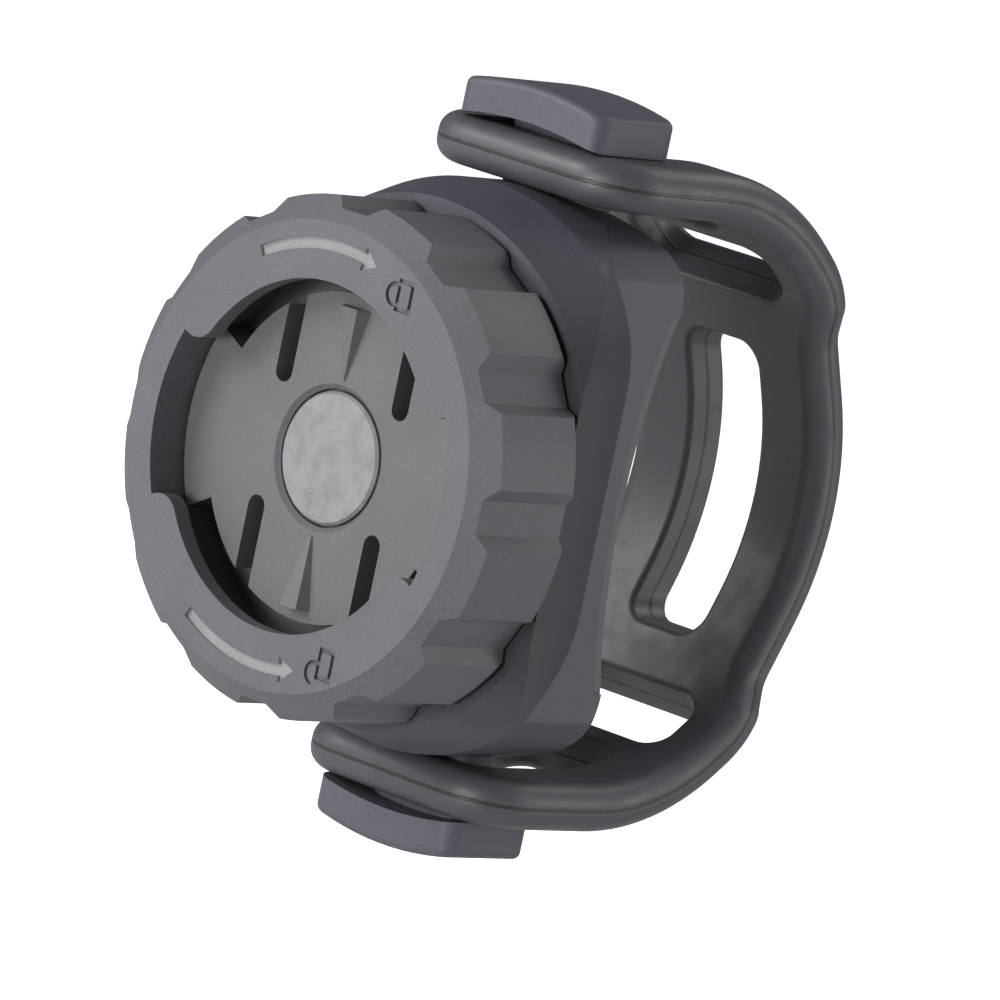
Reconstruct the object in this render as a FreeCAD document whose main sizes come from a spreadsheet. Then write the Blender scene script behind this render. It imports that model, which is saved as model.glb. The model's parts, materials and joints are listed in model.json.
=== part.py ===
import FreeCAD, Part
import math
import os
import Sketcher

# Quick-release mount for a handlebar computer. A knurled ring turns a quarter turn over a fixed
# plate and locks the computer in. A rubber strap with two hooked ends holds the housing on the bar.
# X is to the right and Z is up as seen from the front. Y runs back from the ring's flat front face,
# and the ring turns about Y. All sizes are in millimetres, and angles in degrees.

SIZES = [
    # twist ring
    ("seat_radius", 15.2, "wide openings and bore, which take the computer's tabs"),
    ("opening_half_angle", 24.5, "half of each wide opening"),
    ("lip_reach", 2.1, "two locking lips, inward from the bore"),
    ("lip_thickness", 1.45, "locking lips, front to rear"),
    ("lip_end_round", 1.9, "rounded end of a lip"),
    ("flange_reach", 2.9, "inner flange that keeps the ring on, inward from the bore"),
    ("flange_thickness", 1.5, "inner flange, front to rear"),
    ("grip_wall", 4.2, "from the bore out to the grip pads"),
    ("grip_groove_depth", 0.95, "grooves between the grip pads"),
    ("pad_count", 12, "grip pads round the ring"),
    ("groove_floor_half_angle", 4.0, "half of a floor between two pads"),
    ("groove_ramp", 1.25, "sideways run of a pad's flank for each mm of its height"),
    ("ring_depth", 9.6, "front face to rear edge of the ring"),
    ("ring_cone_run", 1.94, "front slope of the pads, inward"),
    ("ring_cone_depth", 1.5, "front slope of the pads, front to rear"),
    ("ring_rear_bevel", 0.35, "bevelled rear edge of the pads"),
    ("skirt_wall", 2.8, "from the pads in to the hollow behind the flange"),
    ("lug_height", 2.0, "two stop lugs, inward from that hollow's wall"),
    ("lug_half_angle", 16.5, "half of a stop lug"),
    ("turn_angle", 90.0, "turn of the ring from open to locked"),
    ("stop_play", 1.0, "angle left between a stop lug and its stop at either end of the turn"),
    # receiver plate
    ("plate_front", 3.3, "front face of the plate, behind the ring's front face"),
    ("plate_thickness", 1.8, "plate, front to rear"),
    ("plate_tongue_setback", 0.8, "top and bottom edges of the plate, inside the ring's lips"),
    ("plate_wing_half_angle", 27.5, "half of each side wing, which reaches under the ring"),
    ("plate_foot_height", 1.0, "thickening behind each wing"),
    ("tongue_slot_offset", 6.17, "slot beside a spring tongue, from the middle"),
    ("tongue_slot_end", 5.17, "inner end of a slot, from the middle"),
    ("tongue_slot_width", 1.7, "slot beside a spring tongue"),
    ("rib_setback", 0.95, "high end of a wedge rib, inside the plate's edge"),
    ("rib_start", 0.39, "point of a wedge rib, outside the cap's recess"),
    ("rib_half_width", 1.6, "foot of a wedge rib at its high end"),
    ("rib_top_half_width", 0.85, "crest of a wedge rib at its high end"),
    ("rib_height", 1.0, "wedge rib above the plate"),
    ("rib_taper", 8, "times that a rib is smaller at its point"),
    ("collar_radius", 5.4, "round boss behind the plate's middle"),
    ("collar_height", 2.5, "boss behind the plate"),
    ("peg_setback", 2.6, "locating pegs, inside the edge of the neck"),
    ("peg_radius", 1.2, "locating pegs"),
    ("peg_height", 2.2, "locating pegs behind the plate"),
    # screw, insert and cap in the middle
    ("cap_radius", 4.95, "pale cap over the screw"),
    ("cap_thickness", 0.9, "pale cap, front to rear"),
    ("cap_gap", 0.21, "gap round the cap"),
    ("cap_bevel", 0.2, "bevelled edge of the cap"),
    ("recess_bevel", 0.35, "bevelled edge of the recess round the cap"),
    ("cap_setback", 0.1, "cap behind the plate's front face"),
    ("screw_head_radius", 2.75, "head of the screw"),
    ("screw_head_height", 1.6, "head of the screw"),
    ("screw_radius", 1.5, "shank of the screw"),
    ("screw_length", 7.5, "shank of the screw below its head"),
    ("screw_bevel", 0.5, "bevels of the screw's head and tip"),
    ("socket_half_width", 1.0, "hexagon socket across its flats, halved"),
    ("socket_depth", 1.0, "hexagon socket"),
    ("insert_radius", 2.3, "brass insert"),
    ("insert_length", 5.0, "brass insert"),
    ("insert_band", 1.9, "knurled band at each end of the insert"),
    ("insert_waist", 0.3, "depth of the waist between the bands"),
    ("bore_run", 1.9, "bore behind the insert, for the screw's tip"),
    ("friction_step", 0.5, "friction ring, outside the edge of the neck"),
    ("friction_width", 1.0, "square section of the friction ring"),
    # housing
    ("channel_half_width", 7.4, "hollow behind the spring tongues"),
    ("post_radius", 6.9, "round post in the hollow"),
    ("channel_floor", 3.3, "hollow behind the plate's rear face"),
    ("front_overhang", 0.6, "round front of the housing, outside the ring's pads"),
    ("front_flare_run", 5.0, "length over which it grows to the housing's round ends"),
    ("end_trim_gap", 0.05, "flank left proud of the round ends"),
    ("flank_front_half", 17.6, "half width of the housing behind the ring"),
    ("flank_front_corner", 14.3, "the same above the strap seats"),
    ("flank_rear_corner", 2.0, "where the flank surface ends above the strap seats"),
    ("flank_straight", 8.5, "half height of the flank's upright middle"),
    ("flank_rear", 22.0, "place where the flank meets the flat sides"),
    ("flank_overrun", 0.6, "flank carried on inside the flat sides"),
    ("side_half", 10.8, "half width between the flat sides"),
    ("seat_half", 21.5, "half height of the housing, whose ends are round strap seats"),
    ("side_edge_round", 3.5, "rounded edge between a flat side and a strap seat"),
    ("heel_radius", 7.0, "rounded heel between a strap seat and the saddle"),
    ("saddle_tip", 26.1, "rear ends of the saddle"),
    ("saddle_depth", 1.9, "hollow of the saddle at the middle"),
    ("liner_thickness", 0.8, "rubber liner of the saddle"),
    ("liner_side_inset", 0.15, "liner inside the flat sides"),
    # hooks
    ("hook_cap_half", 7.4, "half width of a hook's cap"),
    ("hook_cap_front", 16.7, "front edge of a hook's cap"),
    ("hook_cap_length", 8.8, "hook's cap, front to rear"),
    ("hook_cap_height", 2.7, "hook's cap at its ends"),
    ("hook_cap_crown", 0.9, "rise of the cap's top in the middle"),
    ("hook_cap_arch", 0.8, "rise of the cap's underside in the middle"),
    ("hook_cap_corner", 1.4, "rounded corners of the cap"),
    ("hook_cap_edge", 0.6, "rounded edges of the cap's top"),
    ("hook_stem_length", 3.8, "hook's stem, front to rear"),
    ("hook_root", 2.8, "stem carried on inside the housing"),
    # strap
    ("strap_thickness", 3.8, "rubber strap"),
    ("strap_edge_round", 1.6, "rounded edge of the strap"),
    ("strap_half_width", 10.9, "half width at the hooks and corners"),
    ("strap_rear_half_width", 9.75, "half width of the rear band"),
    ("strap_waist_height", 14.3, "height where the strap narrows"),
    ("strap_waist_step", 2.6, "length over which it narrows"),
    ("strap_front", 16.2, "front ends of the strap"),
    ("strap_corner_round", 5.0, "rounded corners at its ends"),
    ("strap_bend_start", 28.3, "end of the straight run under the hook"),
    ("strap_bend_radius", 18.5, "long bend behind the hook"),
    ("strap_slope_angle", 40.0, "slope of the run to the corner"),
    ("strap_slope_run", 1.2, "straight run before the corner"),
    ("strap_corner_radius", 6.5, "tight bend at the corner"),
    ("strap_rear_angle", 67.0, "slope of the run after the corner"),
    ("strap_rear_radius", 21.3, "bow of the back"),
    ("hook_slot_half", 5.2, "half width of a hook slot"),
    ("hook_slot_front", 19.6, "front end of a hook slot"),
    ("hook_slot_rear", 35.7, "rear end of a hook slot"),
    ("corner_slot_half", 7.2, "half width of a corner slot"),
    ("corner_slot_height", 5.7, "corner slot, along the strap"),
    ("corner_slot_tilt", 4.0, "corner slot, steeper than the run it is in"),
    ("rear_slot_half", 3.67, "half width of the rear slot"),
    ("rear_slot_end", 11.5, "half length of the rear slot"),
    ("slot_corner_round", 1.9, "rounded corners of the slots"),
    ("slot_rim_round", 0.5, "rounded rims of the slots"),
    # fits
    ("running_gap", 0.3, "play between the ring and what it turns on"),
    ("seat_gap", 0.1, "play between parts that only rest on each other"),
    ("press_gap", 0.03, "gap left at a pressed or glued seat"),
]

doc = FreeCAD.newDocument("computer_mount")
sheet = doc.addObject("Spreadsheet::Sheet", "Sizes")


class Size:
    """A number that also carries its formula in terms of the sheet's cells."""

    def __init__(self, value, text):
        self.value = float(value)
        self.text = text

    @staticmethod
    def of(item):
        return item if isinstance(item, Size) else Size(item, repr(float(item)))

    def __add__(self, other):
        other = Size.of(other)
        return Size(self.value + other.value, f"({self.text} + {other.text})")

    def __sub__(self, other):
        other = Size.of(other)
        return Size(self.value - other.value, f"({self.text} - {other.text})")

    def __mul__(self, other):
        other = Size.of(other)
        return Size(self.value * other.value, f"({self.text} * {other.text})")

    def __truediv__(self, other):
        other = Size.of(other)
        return Size(self.value / other.value, f"({self.text} / {other.text})")

    def __radd__(self, other):
        return Size.of(other) + self

    def __rsub__(self, other):
        return Size.of(other) - self

    def __rmul__(self, other):
        return Size.of(other) * self

    def __neg__(self):
        return Size(-self.value, f"(-{self.text})")


def cos_of(angle):
    return Size(math.cos(math.radians(angle.value)), f"cos({angle.text})")


def sin_of(angle):
    return Size(math.sin(math.radians(angle.value)), f"sin({angle.text})")


def root_of(size):
    return Size(math.sqrt(size.value), f"sqrt({size.text})")


def bow_radius(half, rise):
    """Radius of an arc, from half its chord and its rise."""
    return (half * half + rise * rise) / (2 * rise)


class SizeTable:
    """The sheet's cells by name."""

    def __init__(self, rows):
        for number, (name, value, note) in enumerate(rows, start=1):
            sheet.set(f"A{number}", name)
            sheet.set(f"B{number}", str(value))
            sheet.setAlias(f"B{number}", name)
            sheet.set(f"C{number}", note)
            setattr(self, name, Size(value, f"Sizes.{name}"))


s = SizeTable(SIZES)
doc.recompute()


def new_body(name):
    body = doc.addObject("PartDesign::Body", name)
    body.Label = name
    return body


def origin_item(body, role):
    return next(item for item in body.Origin.OriginFeatures if item.Role == role)


def sketch_on(body, name, role, place=None):
    """A sketch parallel to an origin plane, at a place along that plane's axis."""
    sketch = body.newObject("Sketcher::SketchObject", name)
    sketch.AttachmentSupport = [(origin_item(body, role), "")]
    sketch.MapMode = "FlatFace"
    if place is not None:
        # the XZ plane faces the front, so what lies behind it has a negative offset
        offset = -Size.of(place) if role == "XZ_Plane" else Size.of(place)
        sketch.AttachmentOffset = FreeCAD.Placement(FreeCAD.Vector(0, 0, offset.value), FreeCAD.Rotation())
        sketch.setExpression("AttachmentOffset.Base.z", offset.text)
    return sketch


def tie(sketch, constraint, name, size):
    number = sketch.addConstraint(constraint)
    sketch.renameConstraint(number, name)
    sketch.setExpression(f"Constraints.{name}", size.text)


def hold_point(sketch, edge, end, point):
    """Places an end of an edge at a point whose two sizes come from the sheet."""
    axes = (("DistanceX", -2, "across"), ("DistanceY", -1, "up"))
    for size, (kind, axis, word) in zip(point, axes):
        name = f"{word}_{edge}_{end}"
        if size.value == 0:
            sketch.addConstraint(Sketcher.Constraint("PointOnObject", edge, end, axis))
        elif size.value > 0:
            tie(sketch, Sketcher.Constraint(kind, -1, 1, edge, end, size.value), name, size)
        else:
            tie(sketch, Sketcher.Constraint(kind, edge, end, -1, 1, -size.value), name, -size)


def arc_between(here, there, radius, side):
    """The short arc from here to there, bulging to the left or right of the way it goes."""
    middle = (here + there) * 0.5
    half = (there - here) * 0.5
    reach = math.sqrt(max(radius ** 2 - half.Length ** 2, 0))
    to_left = FreeCAD.Vector(-half.y, half.x, 0).normalize()
    centre = middle + to_left * (reach if side == "right" else -reach)
    first, last = (here, there) if side == "right" else (there, here)
    start = math.atan2(first.y - centre.y, first.x - centre.x)
    stop = math.atan2(last.y - centre.y, last.x - centre.x)
    circle = Part.Circle(centre, FreeCAD.Vector(0, 0, 1), radius)
    return Part.ArcOfCircle(circle, start, stop)


def outline(sketch, points, arcs=None):
    """A closed outline. arcs gives the radius and side of each edge that isn't straight."""
    arcs = arcs or {}
    points = [(Size.of(across), Size.of(up)) for across, up in points]
    places = [FreeCAD.Vector(across.value, up.value, 0) for across, up in points]
    edges = []
    for number, here in enumerate(places):
        there = places[(number + 1) % len(places)]
        if number not in arcs:
            edges.append((sketch.addGeometry(Part.LineSegment(here, there), False), 1, 2))
            continue
        radius, side = arcs[number]
        edge = sketch.addGeometry(arc_between(here, there, radius.value, side), False)
        edges.append((edge, 1, 2) if side == "right" else (edge, 2, 1))
    for number, (edge, start, stop) in enumerate(edges):
        next_edge, next_start, _ = edges[(number + 1) % len(edges)]
        sketch.addConstraint(Sketcher.Constraint("Coincident", edge, stop, next_edge, next_start))
        hold_point(sketch, edge, start, points[number])
    for number, (radius, _) in arcs.items():
        edge = edges[number][0]
        tie(sketch, Sketcher.Constraint("Radius", edge, radius.value), f"radius_{edge}", radius)


def disc(sketch, radius, across=0.0):
    """A circle on the horizontal axis of the sketch."""
    across = Size.of(across)
    centre = FreeCAD.Vector(across.value, 0, 0)
    circle = Part.Circle(centre, FreeCAD.Vector(0, 0, 1), radius.value)
    edge = sketch.addGeometry(circle, False)
    hold_point(sketch, edge, 3, (across, Size.of(0)))
    tie(sketch, Sketcher.Constraint("Radius", edge, radius.value), f"radius_{edge}", radius)


def sector(sketch, inner, outer, middle_angle, half_angle):
    """A piece of a ring about the origin, counted anticlockwise from the right."""
    low = middle_angle - half_angle
    high = middle_angle + half_angle
    points = [
        (inner * cos_of(low), inner * sin_of(low)),
        (outer * cos_of(low), outer * sin_of(low)),
        (outer * cos_of(high), outer * sin_of(high)),
        (inner * cos_of(high), inner * sin_of(high)),
    ]
    outline(sketch, points, {1: (outer, "right"), 3: (inner, "left")})


def rounded_box(sketch, half_width, low, high, corner):
    """A box with rounded corners, from low to high and alike on both sides."""
    inner = half_width - corner
    points = [
        (-inner, low),
        (inner, low),
        (half_width, low + corner),
        (half_width, high - corner),
        (inner, high),
        (-inner, high),
        (-half_width, high - corner),
        (-half_width, low + corner),
    ]
    outline(sketch, points, {edge: (corner, "right") for edge in range(1, len(points), 2)})


def solid_from(body, kind, name, sketch, length=None, back=False, both_ways=False):
    """A pad or pocket. Without a length a pocket goes right through."""
    item = body.newObject(f"PartDesign::{kind}", name)
    item.Profile = sketch
    item.Reversed = back
    if both_ways:
        item.SideType = "Symmetric"
    if length is None:
        item.Type = "ThroughAll"
    else:
        item.setExpression("Length", Size.of(length).text)
    sketch.Visibility = False
    return item


def turned(body, kind, name, sketch):
    """A turned feature about the Y axis."""
    item = body.newObject(f"PartDesign::{kind}", name)
    item.Profile = sketch
    item.ReferenceAxis = (sketch, ["V_Axis"])
    item.Angle = 360
    sketch.Visibility = False
    return item


def repeated(body, name, original, count):
    """Copies of a feature round the Y axis."""
    item = body.newObject("PartDesign::PolarPattern", name)
    item.Originals = [original]
    item.Axis = (origin_item(body, "Y_Axis"), [""])
    item.Angle = 360
    item.setExpression("Occurrences", Size.of(count).text)
    body.Tip = item
    return item


def mirrored(body, name, original):
    """A feature's mirror image below the XY plane."""
    item = body.newObject("PartDesign::Mirrored", name)
    item.Originals = [original]
    item.MirrorPlane = (origin_item(body, "XY_Plane"), [""])
    body.Tip = item
    return item


def rounded(body, name, radius, chosen, kind="Fillet"):
    """Rounds or bevels the edges for which chosen is true."""
    doc.recompute()
    base = body.Tip
    names = [f"Edge{number}" for number, edge in enumerate(base.Shape.Edges, start=1) if chosen(edge)]
    item = body.newObject(f"PartDesign::{kind}", name)
    item.Base = (base, names)
    item.setExpression("Radius" if kind == "Fillet" else "Size", radius.text)
    return item


def near(first, second):
    return abs(first - second) < 0.01


def all_at(edge, axis, place):
    """Is the whole edge at this place along an axis, by sign or mirrored?"""
    low = getattr(edge.BoundBox, axis + "Min")
    high = getattr(edge.BoundBox, axis + "Max")
    return near(abs(low), place) and near(low, high)


# Radii and heights that several pieces share

pad_radius = s.seat_radius + s.grip_wall
lip_radius = s.seat_radius - s.lip_reach
flange_radius = s.seat_radius - s.flange_reach
skirt_radius = pad_radius - s.skirt_wall
lug_radius = skirt_radius - s.lug_height
neck_radius = flange_radius - s.running_gap
tongue_radius = lip_radius - s.plate_tongue_setback
recess_radius = s.cap_radius + s.cap_gap
peg_place = neck_radius - s.peg_setback
front_radius = pad_radius + s.front_overhang

plate_rear = s.plate_front + s.plate_thickness
flange_front = plate_rear + s.plate_foot_height + s.running_gap
flange_rear = flange_front + s.flange_thickness
shoulder = flange_rear + s.running_gap
housing_front = s.ring_depth + s.running_gap
strap_inner = s.seat_half + s.seat_gap
hook_cap_low = strap_inner + s.strap_thickness + s.seat_gap
post_bottom = plate_rear + s.collar_height + s.seat_gap
saddle_end = s.seat_half - s.heel_radius
stop_half_angle = s.lug_half_angle + s.turn_angle / 2


def make_twist_ring():
    """Knurled locking ring, one moulding: lips, bore, inner flange, skirt and stop lugs."""
    body = new_body("twist_ring")
    section = sketch_on(body, "ring_section", "XY_Plane")
    outline(section, [
        (lip_radius, 0),
        (pad_radius - s.ring_cone_run, 0),
        (pad_radius, s.ring_cone_depth),
        (pad_radius, s.ring_depth - s.ring_rear_bevel),
        (pad_radius - s.ring_rear_bevel, s.ring_depth),
        (skirt_radius, s.ring_depth),
        (skirt_radius, flange_rear),
        (flange_radius, flange_rear),
        (flange_radius, flange_front),
        (s.seat_radius, flange_front),
        (s.seat_radius, s.lip_thickness),
        (lip_radius, s.lip_thickness),
    ])
    turned(body, "Revolution", "ring_blank", section)

    opening = sketch_on(body, "opening_outline", "XZ_Plane")
    sector(opening, lip_radius - 1, s.seat_radius, Size.of(0), s.opening_half_angle)
    cut = solid_from(body, "Pocket", "wide_opening", opening, s.lip_thickness)
    repeated(body, "wide_openings", cut, 2)

    lip_corner = lip_radius * sin_of(s.opening_half_angle)

    def is_lip_corner(edge):
        return all_at(edge, "Z", lip_corner.value) and near(edge.Length, s.lip_thickness.value)

    rounded(body, "lip_ends", s.lip_end_round, is_lip_corner)

    groove = sketch_on(body, "groove_outline", "XZ_Plane")
    groove_radius = pad_radius - s.grip_groove_depth
    floor_half = groove_radius * sin_of(s.groove_floor_half_angle)
    past_pads = pad_radius + 1
    mouth_half = floor_half + (past_pads - groove_radius) * s.groove_ramp
    outline(groove, [
        (groove_radius, -floor_half),
        (past_pads, -mouth_half),
        (past_pads, mouth_half),
        (groove_radius, floor_half),
    ])
    cut = solid_from(body, "Pocket", "grip_groove", groove)
    repeated(body, "grip_grooves", cut, s.pad_count)

    lug = sketch_on(body, "lug_outline", "XZ_Plane", flange_rear)
    sector(lug, lug_radius, skirt_radius + s.lug_height / 3, 90 + s.turn_angle / 2, s.lug_half_angle)
    block = solid_from(body, "Pad", "stop_lug", lug, s.ring_depth - flange_rear - s.running_gap, back=True)
    repeated(body, "stop_lugs", block, 2)
    return body


def make_receiver_plate():
    """Fixed plate with two spring tongues, each with a wedge rib that finds the computer's notch."""
    body = new_body("receiver_plate")
    face = sketch_on(body, "plate_outline", "XZ_Plane", s.plate_front)
    plate_radius = s.seat_radius - s.running_gap
    disc(face, plate_radius)
    solid_from(body, "Pad", "plate_blank", face, s.plate_thickness, back=True)

    wing = sketch_on(body, "foot_outline", "XZ_Plane", plate_rear)
    sector(wing, neck_radius + s.seat_gap, plate_radius, Size.of(0), s.plate_wing_half_angle)
    foot = solid_from(body, "Pad", "wing_foot", wing, s.plate_foot_height, back=True)
    repeated(body, "wing_feet", foot, 2)

    edge = sketch_on(body, "tongue_edge_outline", "XZ_Plane", s.plate_front)
    sector(edge, tongue_radius, plate_radius + 1, Size.of(90), 90 - s.plate_wing_half_angle)
    cut = solid_from(body, "Pocket", "tongue_edge", edge, s.plate_thickness)
    repeated(body, "tongue_edges", cut, 2)

    slots = sketch_on(body, "slot_outlines", "XZ_Plane", s.plate_front)
    half = s.tongue_slot_width / 2
    for side in (1, -1):
        for up in (1, -1):
            middle = side * s.tongue_slot_offset
            inner_end = up * s.tongue_slot_end
            outer_end = up * (tongue_radius + 1)
            turn = (half, "right" if up > 0 else "left")
            outline(slots, [
                (middle - half, inner_end),
                (middle, inner_end - up * half),
                (middle + half, inner_end),
                (middle + half, outer_end),
                (middle - half, outer_end),
            ], {0: turn, 1: turn})
    solid_from(body, "Pocket", "tongue_slots", slots, s.plate_thickness)

    rib_ends = []
    ends = ((tongue_radius - s.rib_setback, Size.of(1)),
            (recess_radius + s.recess_bevel + s.rib_start, s.rib_taper))
    for number, (place, times_smaller) in enumerate(ends):
        foot_half = s.rib_half_width / times_smaller
        top_half = s.rib_top_half_width / times_smaller
        height = s.rib_height / times_smaller
        rib = sketch_on(body, f"rib_end_{number}", "XY_Plane", place)
        outline(rib, [
            (-foot_half, s.plate_front + height / 2),
            (foot_half, s.plate_front + height / 2),
            (top_half, s.plate_front - height),
            (-top_half, s.plate_front - height),
        ])
        rib_ends.append(rib)
    wedge = body.newObject("PartDesign::AdditiveLoft", "wedge_rib")
    wedge.Profile = rib_ends[0]
    wedge.Sections = [rib_ends[1]]
    wedge.Ruled = True
    mirrored(body, "wedge_ribs", wedge)

    collar = sketch_on(body, "collar_outline", "XZ_Plane", plate_rear)
    disc(collar, s.collar_radius)
    solid_from(body, "Pad", "collar", collar, s.collar_height, back=True)
    pegs = sketch_on(body, "peg_outlines", "XZ_Plane", plate_rear)
    for side in (1, -1):
        disc(pegs, s.peg_radius, side * peg_place)
    solid_from(body, "Pad", "pegs", pegs, s.peg_height, back=True)

    hollow = sketch_on(body, "hollow_section", "XY_Plane")
    cap_floor = s.plate_front + s.cap_setback + s.cap_thickness + s.press_gap
    head_floor = cap_floor + s.press_gap + s.screw_head_height
    outline(hollow, [
        (0, s.plate_front - 1),
        (recess_radius + s.recess_bevel + 1, s.plate_front - 1),
        (recess_radius, s.plate_front + s.recess_bevel),
        (recess_radius, cap_floor),
        (s.screw_head_radius + s.running_gap, cap_floor),
        (s.screw_head_radius + s.running_gap, head_floor),
        (s.screw_radius + s.seat_gap, head_floor),
        (s.screw_radius + s.seat_gap, plate_rear + s.collar_height + 1),
        (0, plate_rear + s.collar_height + 1),
    ])
    turned(body, "Groove", "middle_hollow", hollow)
    return body, cap_floor, head_floor


def make_centre_cap(cap_floor):
    """Pale cap pressed in over the screw."""
    body = new_body("centre_cap")
    section = sketch_on(body, "cap_section", "XY_Plane")
    cap_rear = cap_floor - s.press_gap
    cap_front = cap_rear - s.cap_thickness
    outline(section, [
        (0, cap_front),
        (s.cap_radius - s.cap_bevel, cap_front),
        (s.cap_radius, cap_front + s.cap_bevel),
        (s.cap_radius, cap_rear),
        (0, cap_rear),
    ])
    turned(body, "Revolution", "cap_disc", section)
    return body


def make_centre_screw(head_floor):
    """Steel screw that holds the plate, and so the ring, on the housing."""
    body = new_body("centre_screw")
    section = sketch_on(body, "screw_section", "XY_Plane")
    head_front = head_floor - s.screw_head_height
    tip = head_floor + s.screw_length
    outline(section, [
        (0, head_front),
        (s.screw_head_radius - s.screw_bevel, head_front),
        (s.screw_head_radius, head_front + s.screw_bevel),
        (s.screw_head_radius, head_floor),
        (s.screw_radius, head_floor),
        (s.screw_radius, tip - s.screw_bevel),
        (s.screw_radius - s.screw_bevel, tip),
        (0, tip),
    ])
    turned(body, "Revolution", "screw_blank", section)
    socket = sketch_on(body, "socket_outline", "XZ_Plane", head_front)
    corner = 2 * s.socket_half_width / root_of(Size.of(3))
    half_flat = corner / 2
    outline(socket, [
        (corner, 0),
        (half_flat, s.socket_half_width),
        (-half_flat, s.socket_half_width),
        (-corner, 0),
        (-half_flat, -s.socket_half_width),
        (half_flat, -s.socket_half_width),
    ])
    solid_from(body, "Pocket", "hexagon_socket", socket, s.socket_depth)
    return body


def make_threaded_insert():
    """Brass insert set in the housing's post, with a waist between its two knurled bands."""
    body = new_body("threaded_insert")
    section = sketch_on(body, "insert_section", "XY_Plane")
    bore = s.screw_radius + s.press_gap
    waist = s.insert_radius - s.insert_waist
    front = post_bottom + s.seat_gap
    rear = front + s.insert_length
    outline(section, [
        (bore, front),
        (s.insert_radius, front),
        (s.insert_radius, front + s.insert_band),
        (waist, front + s.insert_band),
        (waist, rear - s.insert_band),
        (s.insert_radius, rear - s.insert_band),
        (s.insert_radius, rear),
        (bore, rear),
    ])
    turned(body, "Revolution", "insert_blank", section)
    return body, rear


def make_friction_ring():
    """Square rubber ring in the shoulder's groove. It gives the twist ring its drag."""
    body = new_body("friction_ring")
    section = sketch_on(body, "friction_section", "XY_Plane")
    inner = neck_radius + s.friction_step
    front = flange_rear + s.press_gap
    outline(section, [
        (inner, front),
        (inner + s.friction_width, front),
        (inner + s.friction_width, front + s.friction_width),
        (inner, front + s.friction_width),
    ])
    turned(body, "Revolution", "friction_band", section)
    return body, inner, front + s.friction_width


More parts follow.
